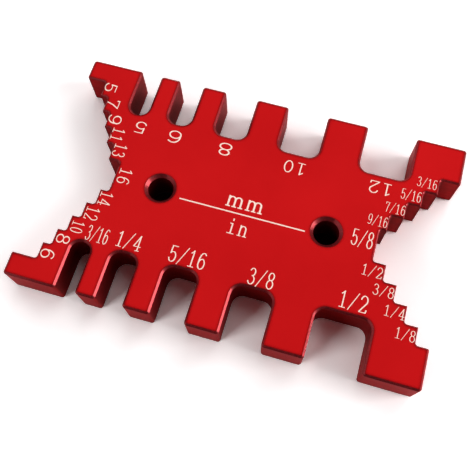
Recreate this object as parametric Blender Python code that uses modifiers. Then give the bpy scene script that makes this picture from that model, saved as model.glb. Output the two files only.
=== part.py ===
"""Height gauge for a table saw's blade or a router's bit: one anodised aluminium plate, lying flat.

X runs along the plate, from its metric end to its inch end. Y runs across it, towards the side with
the metric slots. Z points up, out of the face that carries the marks. The origin is under the
middle of the plate, on the surface that it lies on. The part is symmetric about its mid-thickness.
"""

import math

import bmesh
import bpy
from mathutils import Vector

# The plate
PLATE_LENGTH = 0.095
PLATE_WIDTH = 0.0588
PLATE_THICKNESS = 0.0095

# The two rows of slots, from the metric end to the inch end
INCH = 0.0254
METRIC_SLOT_WIDTHS = (0.005, 0.006, 0.008, 0.010, 0.012)
INCH_SLOT_SHARES = (3 / 16, 1 / 4, 5 / 16, 3 / 8, 1 / 2)
SLOT_DEPTH = 0.012
SLOT_END_RADIUS = 0.0025

# What the slots leave of a side is shared by a foot, the teeth and a foot. A tooth is about as wide
# as the slot before it.
METRIC_TOOTH_SHARES = (13, 5, 6, 8, 10, 12)
INCH_TOOTH_SHARES = (7.84, 3, 4, 5, 6, 8)

# The stepped arches, each step's depth below its feet, from the metric slots to the inch slots
METRIC_STEP_DEPTHS = (0.005, 0.007, 0.009, 0.011, 0.013, 0.016, 0.014, 0.012, 0.010, 0.008, 0.006)
INCH_STEP_SHARES = (3 / 16, 5 / 16, 7 / 16, 9 / 16, 5 / 8, 1 / 2, 3 / 8, 1 / 4, 1 / 8)
METRIC_FOOT_WIDTH = 0.0054
INCH_FOOT_WIDTH = 0.0094
DEEPEST_STEP_SHARE = 2
STEP_CORNER_RADIUS = 0.0007

# The chamfers on the edges of the slots and feet, and on those of the steps. A tip keeps a round
# corner inside its chamfer.
EDGE_CHAMFER = 0.00045
TIP_FACE_RADIUS = 0.00025
STEP_CHAMFER = 0.0003

# The two screw holes, countersunk on both faces
HOLE_DIAMETER = 0.006
HOLE_SPACING = 0.040
COUNTERSINK_DIAMETER = 0.0075
COUNTERSINK_ANGLE = math.radians(90)

# How far each cutter reaches past the face that it cuts, and how far the flare goes that cuts the
# steps' chamfers
CUT_OVERRUN = 0.002
FLARE_OVERRUN = 0.00005

# How finely curves are divided, and the least angle that stays a sharp edge
ARC_STEPS = 8
HOLE_SIDES = 64
WELD_DISTANCE = 0.000001
SHARP_ANGLE = math.radians(30)

RED_ANODISED = (0.60, 0.010, 0.012, 1.0)


def clear_scene():
    for old in list(bpy.data.objects):
        bpy.data.objects.remove(old, do_unlink=True)


def new_collection(name):
    collection = bpy.data.collections.new(name)
    bpy.context.scene.collection.children.link(collection)
    return collection


def anodised_material():
    material = bpy.data.materials.new("red_anodised")
    material.use_nodes = True
    shader = material.node_tree.nodes["Principled BSDF"]
    shader.inputs["Base Color"].default_value = RED_ANODISED
    shader.inputs["Metallic"].default_value = 0.5
    shader.inputs["Roughness"].default_value = 0.42
    material.diffuse_color = RED_ANODISED
    return material


def rounded(corners):
    """The points of an outline, from its square corners (x, y, radius), each rounded by an arc.

    A radius is limited to half of the shorter side beside its corner.
    """
    points = []
    for index, (x, y, radius) in enumerate(corners):
        corner = Vector((x, y))
        back = Vector(corners[index - 1][:2]) - corner
        ahead = Vector(corners[(index + 1) % len(corners)][:2]) - corner
        radius = min(radius, back.length / 2, ahead.length / 2)
        back.normalize()
        ahead.normalize()
        centre = corner + (back + ahead) * radius
        steps = ARC_STEPS if radius > 0 else 0
        for step in range(steps + 1):
            turn = math.pi / 2 * step / max(steps, 1)
            point = centre - (ahead * math.cos(turn) + back * math.sin(turn)) * radius
            if not points or (point - points[-1]).length > WELD_DISTANCE:
                points.append(point)
    return points


def inset(points, distance):
    """A counterclockwise outline's points, each moved inwards, so that its sides all move equally."""
    moved = []
    for index, point in enumerate(points):
        back = (point - points[index - 1]).normalized()
        ahead = (points[(index + 1) % len(points)] - point).normalized()
        inward = Vector((-back.y - ahead.y, back.x + ahead.x)) / (1 + back.dot(ahead))
        moved.append(point + inward * distance)
    return moved


def ringed_solid(name, outline, rings, collection):
    """A closed mesh through a stack of rings, from the bottom up.

    Each ring is the outline at a height, moved inwards by a distance.
    """
    count = len(outline)
    verts = []
    for height, distance in rings:
        verts += [(point.x, point.y, height) for point in inset(outline, distance)]
    faces = [list(range(count))[::-1]]
    for start in range(0, count * (len(rings) - 1), count):
        for index in range(count):
            following = (index + 1) % count
            lower, upper = start + index, start + following
            faces.append((lower, upper, upper + count, lower + count))
    faces.append(list(range(count * (len(rings) - 1), count * len(rings))))
    mesh = bpy.data.meshes.new(name)
    mesh.from_pydata(verts, [], faces)
    solid = bpy.data.objects.new(name, mesh)
    collection.objects.link(solid)
    return solid


def slot_row(slot_widths, tooth_shares, side):
    """The corners of one long side, towards +X. side is 1 for the side at +Y, -1 for that at -Y."""
    tip_radius = TIP_FACE_RADIUS + EDGE_CHAMFER
    tip = side * PLATE_WIDTH / 2
    bottom = tip - side * SLOT_DEPTH
    left_over = PLATE_LENGTH - sum(slot_widths)
    tooth_widths = [left_over * share / sum(tooth_shares) for share in tooth_shares]
    x = -PLATE_LENGTH / 2
    corners = [(x, tip, tip_radius)]
    for tooth_width, slot_width in zip(tooth_widths, slot_widths):
        x += tooth_width
        corners += [(x, tip, tip_radius), (x, bottom, SLOT_END_RADIUS)]
        x += slot_width
        corners += [(x, bottom, SLOT_END_RADIUS), (x, tip, tip_radius)]
    corners.append((PLATE_LENGTH / 2, tip, tip_radius))
    return corners


def slotted_blank(collection):
    """The plate with both rows of slots, chamfered all round on both faces."""
    inch_widths = [INCH * share for share in INCH_SLOT_SHARES]
    inch_side = slot_row(inch_widths, INCH_TOOTH_SHARES, -1)
    metric_side = slot_row(METRIC_SLOT_WIDTHS, METRIC_TOOTH_SHARES, 1)
    outline = rounded(inch_side + metric_side[::-1])
    rings = [
        (0, EDGE_CHAMFER),
        (EDGE_CHAMFER, 0),
        (PLATE_THICKNESS - EDGE_CHAMFER, 0),
        (PLATE_THICKNESS, EDGE_CHAMFER),
    ]
    return ringed_solid("gauge_plate", outline, rings, collection)


def stepped_arch(name, step_depths, foot_width, end, collection):
    """The cutter of one end's arch. end is 1 for the end at +X, -1 for that at -X.

    The steps share the span between the feet evenly, but the deepest is as wide as two. The cutter
    widens at both faces and at its mouth, and so it chamfers the steps and the feet's inner edges.
    """
    deepest = max(step_depths)
    span = PLATE_WIDTH - 2 * foot_width
    pitch = span / (len(step_depths) - 1 + DEEPEST_STEP_SHARE)
    level = span / 2
    mouth = [(-CUT_OVERRUN, level + STEP_CHAMFER + CUT_OVERRUN, 0), (STEP_CHAMFER, level, 0)]
    corners = list(mouth)
    for before, after in zip((0, *step_depths), (*step_depths, 0)):
        # Each ledge between two steps is sharp at its outer corner and rounded at its inner one.
        for depth in (before, after):
            radius = STEP_CORNER_RADIUS if depth == max(before, after) else 0
            corners.append((depth, level, radius))
        level -= pitch * (DEEPEST_STEP_SHARE if after == deepest else 1)
    # The feet's own corners give way to the mouth, which is the same on both feet.
    del corners[len(mouth)], corners[-1]
    corners += [(depth, -across, radius) for depth, across, radius in mouth[::-1]]
    outline = rounded([(end * (PLATE_LENGTH / 2 - x), y, radius) for x, y, radius in corners])
    flare = -STEP_CHAMFER - FLARE_OVERRUN
    rings = [
        (-FLARE_OVERRUN, flare),
        (STEP_CHAMFER, 0),
        (PLATE_THICKNESS - STEP_CHAMFER, 0),
        (PLATE_THICKNESS + FLARE_OVERRUN, flare),
    ]
    return ringed_solid(name, outline[::end], rings, collection)


def hole_cutter(name, x, collection):
    """The cutter of one countersunk hole: a turned profile, from its top to its bottom."""
    bore = HOLE_DIAMETER / 2
    mouth = COUNTERSINK_DIAMETER / 2
    slope = math.tan(COUNTERSINK_ANGLE / 2)
    sink_depth = (mouth - bore) / slope
    wide = mouth + CUT_OVERRUN * slope
    middle = PLATE_THICKNESS / 2
    profile = [
        (0, middle + CUT_OVERRUN),
        (wide, middle + CUT_OVERRUN),
        (bore, middle - sink_depth),
        (bore, sink_depth - middle),
        (wide, -middle - CUT_OVERRUN),
        (0, -middle - CUT_OVERRUN),
    ]
    mesh = bpy.data.meshes.new(name)
    edges = [(index, index + 1) for index in range(len(profile) - 1)]
    mesh.from_pydata([(radius, 0, height) for radius, height in profile], edges, [])
    cutter = bpy.data.objects.new(name, mesh)
    cutter.location = (x, 0, middle)
    collection.objects.link(cutter)
    turn = cutter.modifiers.new("turn", "SCREW")
    turn.steps = HOLE_SIDES
    turn.render_steps = HOLE_SIDES
    turn.use_merge_vertices = True
    turn.merge_threshold = WELD_DISTANCE
    return cutter


def cut(target, cutter):
    cutter.hide_render = True
    cutter.display_type = "WIRE"
    boolean = target.modifiers.new(cutter.name, "BOOLEAN")
    boolean.operation = "DIFFERENCE"
    boolean.solver = "MANIFOLD"
    boolean.object = cutter


def is_level(face):
    return abs(face.normal.z) > math.cos(SHARP_ANGLE)


def even_out_level_faces(mesh):
    """Divides the two long faces into triangles as well shaped as their outline allows."""
    shape = bmesh.new()
    shape.from_mesh(mesh)
    bmesh.ops.triangulate(shape, faces=[face for face in shape.faces if is_level(face)])
    level_faces = [face for face in shape.faces if is_level(face)]
    inner_edges = [edge for edge in shape.edges if all(map(is_level, edge.link_faces))]
    bmesh.ops.beautify_fill(shape, faces=level_faces, edges=inner_edges)
    shape.to_mesh(mesh)
    shape.free()


def settle(target):
    """Makes the modifiers' result the object's own mesh, smooth but for its real edges."""
    bpy.context.view_layer.update()
    graph = bpy.context.evaluated_depsgraph_get()
    rough = target.data
    mesh = bpy.data.meshes.new_from_object(target.evaluated_get(graph))
    target.modifiers.clear()
    target.data = mesh
    bpy.data.meshes.remove(rough)
    mesh.name = target.name
    even_out_level_faces(mesh)
    mesh.shade_smooth()
    mesh.set_sharp_from_angle(angle=SHARP_ANGLE)


def height_gauge():
    clear_scene()
    parts = new_collection("height_gauge")
    cutters = new_collection("cutters")
    plate = slotted_blank(parts)

    inch_depths = [INCH * share for share in INCH_STEP_SHARES]
    cut(plate, stepped_arch("metric_arch", METRIC_STEP_DEPTHS, METRIC_FOOT_WIDTH, -1, cutters))
    cut(plate, stepped_arch("inch_arch", inch_depths, INCH_FOOT_WIDTH, 1, cutters))

    for name, x in (("hole_a", -HOLE_SPACING / 2), ("hole_b", HOLE_SPACING / 2)):
        cut(plate, hole_cutter(name, x, cutters))

    settle(plate)
    plate.data.materials.clear()
    plate.data.materials.append(anodised_material())


height_gauge()
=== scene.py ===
"""Looks of the height gauge: its red anodised finish, its white marks, and the table and light around it.

All places are in metres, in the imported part's frame. X runs from the metric end to the inch end, Y from the
inch slots to the metric slots, and Z up, out of the marked face.
"""

import math

import bmesh
import bpy
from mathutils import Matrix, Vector
from mathutils.geometry import delaunay_2d_cdt


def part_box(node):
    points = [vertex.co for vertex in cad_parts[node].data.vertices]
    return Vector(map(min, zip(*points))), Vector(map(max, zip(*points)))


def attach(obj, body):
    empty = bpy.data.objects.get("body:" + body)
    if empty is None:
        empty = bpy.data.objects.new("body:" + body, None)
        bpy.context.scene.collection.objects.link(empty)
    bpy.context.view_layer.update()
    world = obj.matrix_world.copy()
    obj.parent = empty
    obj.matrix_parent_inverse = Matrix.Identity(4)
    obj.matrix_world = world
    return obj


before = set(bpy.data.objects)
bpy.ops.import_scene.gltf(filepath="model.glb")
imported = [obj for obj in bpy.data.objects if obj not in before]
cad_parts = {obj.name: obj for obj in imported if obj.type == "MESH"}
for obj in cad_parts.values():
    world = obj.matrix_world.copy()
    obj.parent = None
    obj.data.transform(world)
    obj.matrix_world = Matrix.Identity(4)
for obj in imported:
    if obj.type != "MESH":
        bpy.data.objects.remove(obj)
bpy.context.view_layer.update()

MM = 0.001
PLATE = "gauge_plate"
PLATE_LOW, PLATE_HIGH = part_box(PLATE)

# The camera that took the photograph, as fitted to the plate's edges and marks
CAMERA_PLACE = (18.16 * MM, -55.69 * MM, 149.78 * MM)
CAMERA_ANGLES = (math.radians(20.857), math.radians(0.447), math.radians(16.062))
CAMERA_LENS_MM = 50.3
CAMERA_SENSOR_MM = 36.0
CAMERA_SHIFT_SHARE = (-0.0243, -0.0103)
CAMERA_NEAREST = 10 * MM

# The marks' ink. An upright stroke is wider than a level one, and a large sign's strokes are wider than a
# small sign's. A ring is two strokes that overlap.
INK_STANDS_PROUD = 0.015 * MM
INK_SINKS_IN = 0.02 * MM
STROKE_BASE = -0.07 * MM
STROKE_SHARE_OF_SIGN = 0.127
LEVEL_STROKE_SHARE = 0.62
SLASH_SHARE = 0.66
GAP_SHARE_OF_GLYPH = 0.2
ARC_STEP = math.radians(15)
FEWEST_ARC_STEPS = 2
RING_OVERLAP_DEGREES = 5

# Each label's text, and the box that its ink fills: its left and right sides, measured in millimetres from
# the metric end, and its near and far sides, measured from the inch side.
METRIC_STEP_LABELS = (
    ("5", 5.2, 8.3, 50.7, 53.4),
    ("7", 7.4, 10.5, 46.5, 49.2),
    ("9", 9.2, 12.5, 42.4, 45.2),
    ("11", 11.4, 14.5, 38.2, 41.9),
    ("13", 13.3, 16.5, 34.3, 37.9),
    ("16", 16.8, 19.9, 27.9, 32.1),
    ("14", 14.5, 17.6, 21.5, 25.1),
    ("12", 12.7, 16.0, 17.3, 20.6),
    ("10", 10.8, 13.8, 13.4, 16.4),
    ("8", 8.6, 11.8, 10.0, 12.5),
    ("6", 6.5, 9.8, 5.7, 8.2),
)
METRIC_SLOT_LABELS = (
    ("5", 16.1, 19.1, 41.8, 45.0),
    ("6", 24.6, 28.3, 41.6, 44.9),
    ("8", 37.3, 41.0, 41.7, 45.0),
    ("10", 53.7, 59.2, 41.5, 44.7),
    ("12", 74.3, 79.9, 41.8, 45.0),
)
INCH_SLOT_LABELS = (
    ("3/16", 14.8, 20.1, 12.5, 16.3),
    ("1/4", 21.9, 27.9, 13.0, 16.9),
    ("5/16", 34.6, 43.2, 12.8, 16.9),
    ("3/8", 53.2, 59.2, 12.6, 16.6),
    ("1/2", 73.8, 80.3, 13.1, 17.1),
)
INCH_STEP_LABELS = (
    ("3/16", 85.0, 89.7, 46.4, 49.0),
    ("5/16", 82.0, 86.7, 42.2, 45.0),
    ("7/16", 79.1, 83.8, 38.0, 40.6),
    ("9/16", 75.9, 80.5, 33.9, 36.6),
    ("5/8", 73.3, 78.3, 27.9, 32.1),
    ("1/2", 77.1, 81.9, 21.7, 24.4),
    ("3/8", 80.5, 85.3, 17.9, 20.5),
    ("1/4", 83.8, 88.5, 13.9, 16.5),
    ("1/8", 87.1, 91.6, 9.7, 12.3),
)
UNIT_LABELS = (
    ("mm", 43.4, 52.0, 29.4, 33.4),
    ("in", 45.2, 50.2, 22.9, 26.9),
)
RULE_BOX = (32.6, 62.7, 28.0, 28.3)

# How each group of labels is turned on the face, anticlockwise
UPRIGHT = 0.0
READ_DOWNWARD = math.radians(-90)
UPSIDE_DOWN = math.radians(180)

# The ink patches: triangles inside the outlines alone, points this close made one, and the side of the patch
# that its thickness is on
INSIDE_TRIANGLES = 1
SAME_POINT_DISTANCE = MM / 100000
THICKENED_DOWNWARD = -1

# The finish's colours. The deeper red beside edges and in slots is painted shade, and GLANCING_RED tints what
# the surface reflects at a glancing angle.
FACE_RED = (0.56, 0.0080, 0.0092, 1.0)
FACE_RED_DEEP = (0.51, 0.0066, 0.0078, 1.0)
WALL_RED = (0.26, 0.0042, 0.0060, 1.0)
WALL_RED_LIGHT = (0.33, 0.0065, 0.0090, 1.0)
CHAMFER_RED = (0.18, 0.017, 0.020, 1.0)
PAINTED_SHADE_RED = (0.10, 0.0015, 0.0025, 1.0)
# Lighter patches on the chamfers, partly wear and partly a painted sheen
WORN_AND_SHEEN_RED = (0.66, 0.035, 0.040, 1.0)
GLANCING_RED = (0.50, 0.03, 0.04, 1.0)
DUST_COLOUR = (0.80, 0.40, 0.38, 1.0)
INK_WHITE = (0.98, 0.77, 0.67, 1.0)
INK_GREY = (0.92, 0.62, 0.52, 1.0)

# How the surface shines. The chamfers and countersinks are cut after blasting, and so they are glossier.
FACE_METAL, CHAMFER_METAL, WALL_METAL = 0.12, 0.72, 0.75
FACE_COAT, CHAMFER_COAT, WALL_COAT = 0.0, 0.13, 0.05
FACE_ROUGHNESS = (0.46, 0.56)
CHAMFER_SMOOTHER_BY, WALL_SMOOTHER_BY = 0.20, 0.10
SPECULAR_LEVEL = 0.03
COAT_IOR = 1.6
COAT_ROUGHNESS = 0.24
INK_ROUGHNESS = (0.5, 0.7)

# How the normal's upright part tells what a surface is. A chamfer's is near that of a 45 degree slope, and a
# wall's is near 0. Each mask fades out over its leeway.
CHAMFER_SLOPE = math.cos(math.radians(45))
CHAMFER_LEEWAY = (0.08, 0.22)
WALL_LEEWAY = (0.1, 0.4)

# Painted shade, as a deeper red, by how well the normals nearby agree and by how open a place is
EDGE_REACH = 1.2 * MM
EDGE_AGREEMENT = (0.945, 0.999)
EDGE_SHADE = 0.9
RECESS_REACH = 12.0 * MM
RECESS_OPENNESS = (0.35, 0.97)
RECESS_SHADE = 0.95
LOOK_AROUND_SAMPLES = 8

# Textures: how many waves they have in a metre, and the noise values between which each goes from none to
# all
NOISE_DETAIL = 3.0
GRAIN_SCALE = 5200.0
GRAIN_DETAIL = 2.0
GRAIN_RANGE = (0.3, 0.7)
INK_GRAIN_RANGE = (0.45, 0.75)
CLOUD_SCALE = 40.0
CLOUD_RANGE = (0.35, 0.65)
BAND_SCALE = (12.0, 12.0, 800.0)
BAND_RANGE = (0.40, 0.62)
WEAR_AND_SHEEN_SCALE = 2200.0
WEAR_AND_SHEEN_RANGE = (0.5, 0.7)
WEAR_AND_SHEEN_SHARE = 0.25
BUMP_STRENGTH = 0.15
BUMP_DEPTH = 0.02 * MM

# Dust: its cells in a metre, the share of them without a speck, where a speck fades out, measured from its
# middle in cells, and how much it hides
DUST_SCALE = 130.0
DUSTLESS_SHARE = 0.86
SPECK_EDGE = (0.018, 0.035)
SPECK_STRENGTH = 0.75

# The table. It is brighter than white where it is seen, so that only the shadows show. Under the screw holes
# it has dark spots of painted shadow.
TABLE_RADIUS = 0.45
TABLE_SIDES = 64
TABLE_GAP = 0.02 * MM
TABLE_ROUGHNESS = 0.7
TABLE_WHITE = (0.86, 0.86, 0.86, 1.0)
# Painted reflected light: the seen white leans a little to red, for the red light that the plate throws into
# its shadows
TABLE_SEEN_WHITE = (1.41, 1.36, 1.36, 1.0)
NEAR_BLACK = (0.02, 0.02, 0.02, 1.0)
SCREW_HOLE_CENTRES = ((-20 * MM, 0, 0), (20 * MM, 0, 0))
HOLE_SHADE_RADIUS = 3.2 * MM
HOLE_SHADE_FADE = 1.15

# The sky's colour, and the light that it casts from the horizon and from overhead
SKY_WHITE = (1.0, 1.0, 1.0, 1.0)
SKY_HORIZON = 0.42
SKY_ZENITH = 0.0

# Each lamp's place, the point that it faces, its size and its watts. One has no mirror image, because each
# countersink shows only one highlight in the photo.
LAMPS = (
    ("top_lamp", (0.25, 0.55, 1.25), (0, 0, 0), (1.00, 0.60), 1.7),
    ("back_lamp", (0.20, 1.05, 0.75), (0, 0, 0), (1.20, 0.50), 6.0),
    ("back_left_lamp", (-0.85, 0.85, 0.60), (0, 0, 0), (0.60, 0.50), 3.0),
    ("front_left_lamp", (-0.85, -0.85, 0.60), (0, 0, 0), (0.60, 0.50), 9.3),
    ("right_lamp", (1.10, 0.15, 0.75), (0, 0, 0), (0.70, 0.50), 6.2),
    ("edge_lamp", (1.17, 0.17, 0.27), (0, 0, 0.01), (0.70, 0.50), 11.0),
)
LAMP_WITHOUT_REFLECTION = "front_left_lamp"

# The dark card in front of the plate
FLAG_LEFT, FLAG_RIGHT, FLAG_TOP, FLAG_Y = -0.30, 0.90, 0.45, -0.60

# Points closer than this are one, and edges with more than this angle are real
WELD_DISTANCE = 0.001 * MM
SHARP_ANGLE = math.radians(30)


def arc(centre_x, centre_y, radius_x, radius_y, start, end):
    """Points along an upright ellipse, from one angle to another, in degrees."""
    turn = math.radians(end - start)
    steps = max(FEWEST_ARC_STEPS, math.ceil(abs(turn) / ARC_STEP))
    angles = [math.radians(start) + turn * step / steps for step in range(steps + 1)]
    return [(centre_x + radius_x * math.cos(a), centre_y + radius_y * math.sin(a)) for a in angles]


def oval(centre_x, centre_y, radius_x, radius_y):
    """A ring as two strokes that overlap a little, because a stroke can't meet itself."""
    past = RING_OVERLAP_DEGREES
    left = arc(centre_x, centre_y, radius_x, radius_y, 90 - past, 270 + past)
    right = arc(centre_x, centre_y, radius_x, radius_y, -90 - past, 90 + past)
    return [left, right]


def turned_over(strokes):
    """The same strokes after half a turn."""
    return [[(1 - x, 1 - y) for x, y in stroke] for stroke in strokes]


def glyph_shares():
    """Each sign's strokes, as points in shares of its own width and height."""
    six = [arc(0.56, 0.50, 0.43, 0.47, 52, 190)] + oval(0.50, 0.32, 0.37, 0.29)
    return {
        "0": oval(0.50, 0.50, 0.37, 0.47),
        "1": [[(0.52, 0.96), (0.52, 0.03)], [(0.24, 0.80), (0.52, 0.94)], [(0.20, 0.03), (0.84, 0.03)]],
        "2": [
            arc(0.50, 0.70, 0.37, 0.27, 170, -25) + [(0.12, 0.05)],
            [(0.10, 0.03), (0.86, 0.03)],
            [(0.84, 0.03), (0.90, 0.18)],
        ],
        "3": [arc(0.47, 0.75, 0.31, 0.22, 160, -90), arc(0.47, 0.28, 0.38, 0.25, 90, -160)],
        "4": [
            [(0.66, 0.96), (0.07, 0.29)],
            [(0.07, 0.29), (0.94, 0.29)],
            [(0.66, 0.96), (0.66, 0.03)],
            [(0.44, 0.03), (0.88, 0.03)],
        ],
        "5": [
            [(0.20, 0.95), (0.84, 0.95)],
            [(0.21, 0.95), (0.18, 0.52)],
            arc(0.47, 0.32, 0.39, 0.29, 140, -160),
        ],
        "6": six,
        "7": [
            [(0.13, 0.78), (0.13, 0.95)],
            [(0.13, 0.95), (0.87, 0.95)],
            [(0.86, 0.95), (0.58, 0.50), (0.44, 0.02)],
        ],
        "8": oval(0.50, 0.75, 0.32, 0.22) + oval(0.50, 0.28, 0.38, 0.25),
        "9": turned_over(six),
        "m": [
            [(0.12, 0.66), (0.12, 0.03)],
            arc(0.31, 0.46, 0.19, 0.19, 180, 0) + [(0.50, 0.03)],
            arc(0.69, 0.46, 0.19, 0.19, 180, 0) + [(0.88, 0.03)],
            [(0.02, 0.03), (0.24, 0.03)],
            [(0.40, 0.03), (0.61, 0.03)],
            [(0.77, 0.03), (0.99, 0.03)],
        ],
        "i": [
            [(0.52, 0.64), (0.52, 0.03)],
            [(0.30, 0.64), (0.52, 0.64)],
            [(0.20, 0.03), (0.84, 0.03)],
            [(0.52, 0.84), (0.52, 0.94)],
        ],
        "n": [
            [(0.22, 0.66), (0.22, 0.03)],
            arc(0.50, 0.42, 0.28, 0.22, 180, 0) + [(0.78, 0.03)],
            [(0.06, 0.03), (0.38, 0.03)],
            [(0.62, 0.03), (0.95, 0.03)],
        ],
    }


GLYPH_SHARES = glyph_shares()
SLASH_SHARES = [[(0.02, -0.02), (0.98, 1.02)]]


def ribbon(points, upright_width, level_width):
    """The outline of a stroke, whose width follows its direction, with square ends."""
    count = len(points)
    steps = [(points[k + 1] - points[k]).normalized() for k in range(count - 1)]
    left, right = [], []
    for index, point in enumerate(points):
        along = (steps[max(index - 1, 0)] + steps[min(index, count - 2)]).normalized()
        half = (level_width + (upright_width - level_width) * abs(along.y)) / 2
        if index == 0:
            point = point - along * level_width / 2
        if index == count - 1:
            point = point + along * level_width / 2
        across = Vector((-along.y, along.x)) * half
        left.append(point + across)
        right.append(point - across)
    return right + left[::-1]


def label_outlines(text, width, height):
    """The outlines of a label's strokes, upright and centred on zero."""
    glyph_width = width / (len(text) + (len(text) - 1) * GAP_SHARE_OF_GLYPH)
    upright_width = STROKE_BASE + STROKE_SHARE_OF_SIGN * math.sqrt(glyph_width * height)
    level_width = upright_width * LEVEL_STROKE_SHARE
    outlines = []
    for index, sign in enumerate(text):
        start = Vector((glyph_width * (1 + GAP_SHARE_OF_GLYPH) * index - width / 2, -height / 2))
        strokes = SLASH_SHARES if sign == "/" else GLYPH_SHARES[sign]
        pen = upright_width * (SLASH_SHARE if sign == "/" else 1)
        for stroke in strokes:
            points = [start + Vector((x * glyph_width, y * height)) for x, y in stroke]
            outlines.append(ribbon(points, pen, min(pen, level_width)))
    return outlines


def joined_faces(outlines):
    """One flat patch of triangles that covers all the outlines, without overlaps."""
    points, faces = [], []
    for outline in outlines:
        faces.append(list(range(len(points), len(points) + len(outline))))
        points += outline
    patch = delaunay_2d_cdt(points, [], faces, INSIDE_TRIANGLES, SAME_POINT_DISTANCE)
    corners, _, triangles, _, _, covered = patch
    return corners, [triangle for triangle, inside in zip(triangles, covered) if inside]


def add_patch(shape, outlines, place, turn):
    """Lays the outlines on the plate's face, turned about their middle."""
    corners, triangles = joined_faces(outlines)
    cosine, sine = math.cos(turn), math.sin(turn)
    top = PLATE_HIGH.z + INK_STANDS_PROUD
    verts = []
    for corner in corners:
        x = place[0] + corner.x * cosine - corner.y * sine
        y = place[1] + corner.x * sine + corner.y * cosine
        verts.append(shape.verts.new((x, y, top)))
    for triangle in triangles:
        shape.faces.new([verts[index] for index in triangle])


def add_marks(name, labels, turn, ink, rules=()):
    """A piece that holds one group of labels, as a thin layer of ink let into the face."""
    shape = bmesh.new()
    for text, left, right, near, far in labels:
        place = (PLATE_LOW.x + (left + right) / 2 * MM, PLATE_LOW.y + (near + far) / 2 * MM)
        along, across = (right - left) * MM, (far - near) * MM
        lies_across = turn == READ_DOWNWARD
        size = (across, along) if lies_across else (along, across)
        add_patch(shape, label_outlines(text, *size), place, turn)
    for left, right, near, far in rules:
        corners = [(left, near), (right, near), (right, far), (left, far)]
        outline = [Vector((x * MM, y * MM)) for x, y in corners]
        add_patch(shape, [outline], PLATE_LOW.xy, UPRIGHT)
    bmesh.ops.recalc_face_normals(shape, faces=shape.faces)
    if sum(face.normal.z for face in shape.faces) < 0:
        bmesh.ops.reverse_faces(shape, faces=shape.faces)
    mesh = bpy.data.meshes.new(name)
    shape.to_mesh(mesh)
    shape.free()
    piece = bpy.data.objects.new(name, mesh)
    bpy.context.scene.collection.objects.link(piece)
    layer = piece.modifiers.new("ink_layer", "SOLIDIFY")
    layer.thickness = INK_STANDS_PROUD + INK_SINKS_IN
    layer.offset = THICKENED_DOWNWARD
    mesh.materials.append(ink)
    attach(piece, "root")


def new_material(name):
    """A new node material, its tree and its Principled shader."""
    material = bpy.data.materials.new(name)
    material.use_nodes = True
    return material, material.node_tree, material.node_tree.nodes["Principled BSDF"]


def noise(tree, coordinates, scale, detail=NOISE_DETAIL):
    """A random value between 0 and 1 that changes softly from place to place."""
    node = tree.nodes.new("ShaderNodeTexNoise")
    node.inputs["Scale"].default_value = scale
    node.inputs["Detail"].default_value = detail
    tree.links.new(coordinates, node.inputs["Vector"])
    return node.outputs["Fac"]


def mapped(tree, value, span, to_low, to_high):
    """A value that goes from one number to another while the given one crosses a span."""
    node = tree.nodes.new("ShaderNodeMapRange")
    node.inputs["From Min"].default_value, node.inputs["From Max"].default_value = span
    node.inputs["To Min"].default_value = to_low
    node.inputs["To Max"].default_value = to_high
    tree.links.new(value, node.inputs["Value"])
    return node.outputs["Result"]


def mixed(tree, share, first, second):
    """A colour between two others. Each is a colour or an output."""
    node = tree.nodes.new("ShaderNodeMix")
    node.data_type = "RGBA"
    tree.links.new(share, node.inputs["Factor"])
    for name, colour in (("A", first), ("B", second)):
        socket = next(s for s in node.inputs if s.name == name and s.type == "RGBA")
        if isinstance(colour, tuple):
            socket.default_value = colour
        else:
            tree.links.new(colour, socket)
    return next(s for s in node.outputs if s.type == "RGBA")


def stretched(tree, coordinates, scale):
    """Coordinates that run faster along some axes than along others."""
    node = tree.nodes.new("ShaderNodeMapping")
    node.inputs["Scale"].default_value = scale
    tree.links.new(coordinates, node.inputs["Vector"])
    return node.outputs["Vector"]


def calculated(tree, operation, first, second=0.0):
    """The result of one operation on two values. Each is a number or an output."""
    node = tree.nodes.new("ShaderNodeMath")
    node.operation = operation
    for socket, value in zip(node.inputs, (first, second)):
        if isinstance(value, (int, float)):
            socket.default_value = value
        else:
            tree.links.new(value, socket)
    return node.outputs["Value"]


def slope_masks(tree):
    """Where the surface is a chamfer or countersink, and where it is a wall, each from 0 to 1."""
    normal = tree.nodes.new("ShaderNodeTexCoord").outputs["Normal"]
    parts = tree.nodes.new("ShaderNodeSeparateXYZ")
    tree.links.new(normal, parts.inputs["Vector"])
    levelness = calculated(tree, "ABSOLUTE", parts.outputs["Z"])
    off_chamfer = calculated(tree, "ABSOLUTE", calculated(tree, "SUBTRACT", levelness, CHAMFER_SLOPE))
    chamfer = mapped(tree, off_chamfer, CHAMFER_LEEWAY, 1.0, 0.0)
    wall = mapped(tree, levelness, WALL_LEEWAY, 1.0, 0.0)
    return chamfer, wall


def by_slope(tree, chamfer, wall, face_value, chamfer_value, wall_value):
    """A value that differs between the level faces, the chamfers and the walls."""
    value = mapped(tree, chamfer, (0.0, 1.0), face_value, chamfer_value)
    return calculated(tree, "ADD", value, calculated(tree, "MULTIPLY", wall, wall_value - face_value))


def painted_edge_shade(tree):
    """Painted shade beside an edge: how much deeper the red is where the normals around a point disagree with
    its own.
    """
    around = tree.nodes.new("ShaderNodeBevel")
    around.samples = LOOK_AROUND_SAMPLES
    around.inputs["Radius"].default_value = EDGE_REACH
    agreement = tree.nodes.new("ShaderNodeVectorMath")
    agreement.operation = "DOT_PRODUCT"
    tree.links.new(around.outputs["Normal"], agreement.inputs[0])
    tree.links.new(tree.nodes.new("ShaderNodeNewGeometry").outputs["Normal"], agreement.inputs[1])
    return mapped(tree, agreement.outputs["Value"], EDGE_AGREEMENT, EDGE_SHADE, 0.0)


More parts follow.
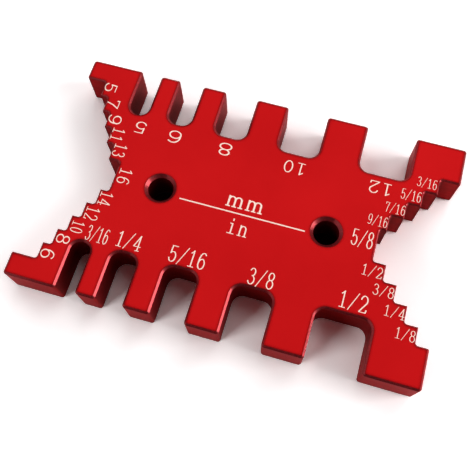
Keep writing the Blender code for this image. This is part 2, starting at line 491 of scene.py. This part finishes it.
def painted_recess_shade(tree):
    """Painted shade in recesses: how much deeper the red is where the piece itself shuts a place in, as in a
    narrow slot.
    """
    openness = tree.nodes.new("ShaderNodeAmbientOcclusion")
    openness.samples = LOOK_AROUND_SAMPLES
    openness.inputs["Distance"].default_value = RECESS_REACH
    openness.only_local = True
    return mapped(tree, openness.outputs["AO"], RECESS_OPENNESS, RECESS_SHADE, 0.0)


def dust_specks(tree, place):
    """A few specks, in a small share of the cells that the surface is divided into."""
    cells = tree.nodes.new("ShaderNodeTexVoronoi")
    cells.inputs["Scale"].default_value = DUST_SCALE
    tree.links.new(place, cells.inputs["Vector"])
    parts = tree.nodes.new("ShaderNodeSeparateXYZ")
    tree.links.new(cells.outputs["Color"], parts.inputs["Vector"])
    has_speck = calculated(tree, "GREATER_THAN", parts.outputs["X"], DUSTLESS_SHARE)
    near = mapped(tree, cells.outputs["Distance"], SPECK_EDGE, SPECK_STRENGTH, 0.0)
    return calculated(tree, "MULTIPLY", has_speck, near)


def anodised_colour(tree, place, chamfer, wall):
    """Clouded red on the faces, bands on the walls, painted shade beside edges and in slots, and chamfers
    lightened in patches by wear and a painted sheen.
    """
    cloud = mapped(tree, noise(tree, place, CLOUD_SCALE), CLOUD_RANGE, 0.0, 1.0)
    bands = noise(tree, stretched(tree, place, BAND_SCALE), 1.0, GRAIN_DETAIL)
    red = mixed(tree, cloud, FACE_RED, FACE_RED_DEEP)
    wall_red = mixed(tree, mapped(tree, bands, BAND_RANGE, 0.0, 1.0), WALL_RED, WALL_RED_LIGHT)
    red = mixed(tree, wall, red, wall_red)
    # Painted shade: a deeper red beside every edge
    red = mixed(tree, painted_edge_shade(tree), red, PAINTED_SHADE_RED)
    # Painted shade: a deeper red on the walls of narrow slots
    red = mixed(tree, calculated(tree, "MULTIPLY", wall, painted_recess_shade(tree)), red, PAINTED_SHADE_RED)
    red = mixed(tree, chamfer, red, CHAMFER_RED)
    # Partly wear, partly a painted sheen: lighter patches on the chamfers
    wear_and_sheen = mapped(tree, noise(tree, place, WEAR_AND_SHEEN_SCALE), WEAR_AND_SHEEN_RANGE, 0.0, WEAR_AND_SHEEN_SHARE)
    red = mixed(tree, calculated(tree, "MULTIPLY", chamfer, wear_and_sheen), red, WORN_AND_SHEEN_RED)
    return mixed(tree, dust_specks(tree, place), red, DUST_COLOUR)


def anodised_finish():
    """Fine blasted red anodising, glossier on its chamfers, with tool bands on its walls."""
    material, tree, shader = new_material("red_anodised_finish")
    place = tree.nodes.new("ShaderNodeTexCoord").outputs["Object"]
    chamfer, wall = slope_masks(tree)
    tree.links.new(anodised_colour(tree, place, chamfer, wall), shader.inputs["Base Color"])
    grain = noise(tree, place, GRAIN_SCALE, GRAIN_DETAIL)
    rough = mapped(tree, grain, GRAIN_RANGE, *FACE_ROUGHNESS)
    smoother = by_slope(tree, chamfer, wall, 0.0, CHAMFER_SMOOTHER_BY, WALL_SMOOTHER_BY)
    tree.links.new(calculated(tree, "SUBTRACT", rough, smoother), shader.inputs["Roughness"])
    metal = by_slope(tree, chamfer, wall, FACE_METAL, CHAMFER_METAL, WALL_METAL)
    tree.links.new(metal, shader.inputs["Metallic"])
    shader.inputs["Specular IOR Level"].default_value = SPECULAR_LEVEL
    shader.inputs["Specular Tint"].default_value = GLANCING_RED
    coat = by_slope(tree, chamfer, wall, FACE_COAT, CHAMFER_COAT, WALL_COAT)
    tree.links.new(coat, shader.inputs["Coat Weight"])
    shader.inputs["Coat Roughness"].default_value = COAT_ROUGHNESS
    shader.inputs["Coat IOR"].default_value = COAT_IOR
    bump = tree.nodes.new("ShaderNodeBump")
    bump.inputs["Strength"].default_value = BUMP_STRENGTH
    bump.inputs["Distance"].default_value = BUMP_DEPTH
    tree.links.new(grain, bump.inputs["Height"])
    tree.links.new(bump.outputs["Normal"], shader.inputs["Normal"])
    return material


def ink_finish():
    """White ink with a fine grain, warmed a little by the red below it."""
    material, tree, shader = new_material("white_ink")
    place = tree.nodes.new("ShaderNodeTexCoord").outputs["Object"]
    grain = noise(tree, place, GRAIN_SCALE, GRAIN_DETAIL)
    colour = mixed(tree, mapped(tree, grain, INK_GRAIN_RANGE, 0.0, 1.0), INK_WHITE, INK_GREY)
    tree.links.new(colour, shader.inputs["Base Color"])
    tree.links.new(mapped(tree, grain, GRAIN_RANGE, *INK_ROUGHNESS), shader.inputs["Roughness"])
    return material


def seen_directly(tree):
    """1 for what the camera sees, also in metal or glass, and 0 for the light that falls on things."""
    path = tree.nodes.new("ShaderNodeLightPath").outputs
    reflected = calculated(tree, "MAXIMUM", path["Is Glossy Ray"], path["Is Transmission Ray"])
    return calculated(tree, "MAXIMUM", path["Is Camera Ray"], reflected)


def table_finish():
    """White, brighter where it is seen, with painted shadows under the screw holes."""
    material, tree, shader = new_material("table_white")
    white = mixed(tree, seen_directly(tree), TABLE_WHITE, TABLE_SEEN_WHITE)
    place = tree.nodes.new("ShaderNodeTexCoord").outputs["Object"]
    # Painted shadow: a near black spot on the table under each screw hole
    for centre in SCREW_HOLE_CENTRES:
        away = tree.nodes.new("ShaderNodeVectorMath")
        away.operation = "DISTANCE"
        away.inputs[1].default_value = centre
        tree.links.new(place, away.inputs[0])
        fade = (HOLE_SHADE_RADIUS, HOLE_SHADE_RADIUS * HOLE_SHADE_FADE)
        white = mixed(tree, mapped(tree, away.outputs["Value"], fade, 1.0, 0.0), white, NEAR_BLACK)
    tree.links.new(white, shader.inputs["Base Color"])
    shader.inputs["Roughness"].default_value = TABLE_ROUGHNESS
    shader.inputs["Specular IOR Level"].default_value = 0.0
    return material


def add_table():
    """A round table top, just under the plate."""
    shape = bmesh.new()
    bmesh.ops.create_circle(shape, cap_ends=True, segments=TABLE_SIDES, radius=TABLE_RADIUS)
    mesh = bpy.data.meshes.new("table")
    shape.to_mesh(mesh)
    shape.free()
    table = bpy.data.objects.new("table", mesh)
    table.location.z = PLATE_LOW.z - TABLE_GAP
    bpy.context.scene.collection.objects.link(table)
    mesh.materials.append(table_finish())


def add_sky():
    """White where it is seen. The light that it casts comes from low down, all round."""
    world = bpy.data.worlds.new("studio")
    bpy.context.scene.world = world
    world.use_nodes = True
    tree = world.node_tree
    direction = tree.nodes.new("ShaderNodeTexCoord").outputs["Generated"]
    parts = tree.nodes.new("ShaderNodeSeparateXYZ")
    tree.links.new(direction, parts.inputs["Vector"])
    cast = mapped(tree, parts.outputs["Z"], (0.0, 1.0), SKY_HORIZON, SKY_ZENITH)
    seen = seen_directly(tree)
    unseen = calculated(tree, "SUBTRACT", 1.0, seen)
    strength = calculated(tree, "ADD", seen, calculated(tree, "MULTIPLY", unseen, cast))
    tree.links.new(strength, tree.nodes["Background"].inputs["Strength"])
    tree.nodes["Background"].inputs["Color"].default_value = SKY_WHITE


def add_flag(name):
    """A dark card that the front chamfers reflect, as a photographer sets up beside shiny things."""
    foot = [(FLAG_LEFT, FLAG_Y, 0.0), (FLAG_RIGHT, FLAG_Y, 0.0)]
    corners = foot + [(FLAG_RIGHT, FLAG_Y, FLAG_TOP), (FLAG_LEFT, FLAG_Y, FLAG_TOP)]
    mesh = bpy.data.meshes.new(name)
    mesh.from_pydata(corners, [], [range(len(corners))])
    flag = bpy.data.objects.new(name, mesh)
    flag.visible_camera = False
    bpy.context.scene.collection.objects.link(flag)
    material, _, shader = new_material(name)
    shader.inputs["Base Color"].default_value = NEAR_BLACK
    shader.inputs["Specular IOR Level"].default_value = 0.0
    mesh.materials.append(material)


def add_lamp(name, place, target, size, watts):
    """A soft oblong lamp that faces a point."""
    light = bpy.data.lights.new(name, "AREA")
    light.shape = "RECTANGLE"
    light.size, light.size_y = size
    light.energy = watts
    lamp = bpy.data.objects.new(name, light)
    lamp.location = place
    lamp.rotation_euler = (Vector(target) - Vector(place)).to_track_quat("-Z", "Y").to_euler()
    lamp.visible_glossy = name != LAMP_WITHOUT_REFLECTION
    bpy.context.scene.collection.objects.link(lamp)


def shade_by_angle(piece):
    """Shades the piece smooth but for its real edges."""
    group = bpy.data.node_groups.new("shade_by_angle", "GeometryNodeTree")
    group.interface.new_socket("Geometry", in_out="INPUT", socket_type="NodeSocketGeometry")
    group.interface.new_socket("Geometry", in_out="OUTPUT", socket_type="NodeSocketGeometry")
    nodes, links = group.nodes, group.links
    start, end = nodes.new("NodeGroupInput"), nodes.new("NodeGroupOutput")
    weld = nodes.new("GeometryNodeMergeByDistance")
    weld.inputs["Distance"].default_value = WELD_DISTANCE
    flat_normals = nodes.new("GeometryNodeRemoveAttribute")
    flat_normals.inputs["Name"].default_value = "custom_normal"
    smooth = nodes.new("GeometryNodeSetShadeSmooth")
    smooth.domain = "FACE"
    edges = nodes.new("GeometryNodeSetShadeSmooth")
    edges.domain = "EDGE"
    edges.inputs["Shade Smooth"].default_value = False
    angle = nodes.new("GeometryNodeInputMeshEdgeAngle")
    sharp = nodes.new("FunctionNodeCompare")
    sharp.operation = "GREATER_THAN"
    sharp.inputs["B"].default_value = SHARP_ANGLE
    links.new(angle.outputs["Unsigned Angle"], sharp.inputs["A"])
    links.new(sharp.outputs["Result"], edges.inputs["Selection"])
    chain = (start, weld, flat_normals, smooth, edges, end)
    for before, after in zip(chain, chain[1:]):
        links.new(before.outputs[0], after.inputs[0])
    piece.modifiers.new("shade_by_angle", "NODES").node_group = group


def add_camera():
    """The photograph's camera."""
    lens = bpy.data.cameras.new("camera")
    lens.lens = CAMERA_LENS_MM
    lens.sensor_width = CAMERA_SENSOR_MM
    lens.shift_x, lens.shift_y = CAMERA_SHIFT_SHARE
    lens.clip_start = CAMERA_NEAREST
    camera = bpy.data.objects.new("camera", lens)
    camera.location = CAMERA_PLACE
    camera.rotation_euler = CAMERA_ANGLES
    bpy.context.scene.collection.objects.link(camera)
    bpy.context.scene.camera = camera


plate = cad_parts[PLATE]
plate.data.materials[0] = anodised_finish()
shade_by_angle(plate)
white_ink = ink_finish()
add_marks("metric_step_marks", METRIC_STEP_LABELS, READ_DOWNWARD, white_ink)
add_marks("metric_slot_marks", METRIC_SLOT_LABELS, UPSIDE_DOWN, white_ink)
add_marks("inch_slot_marks", INCH_SLOT_LABELS, UPRIGHT, white_ink)
add_marks("inch_step_marks", INCH_STEP_LABELS, UPRIGHT, white_ink)
add_marks("unit_marks", UNIT_LABELS, UPRIGHT, white_ink, [RULE_BOX])

add_table()
add_sky()
for lamp_values in LAMPS:
    add_lamp(*lamp_values)
add_flag("front_flag")
add_camera()
bpy.context.scene.view_settings.view_transform = "Standard"
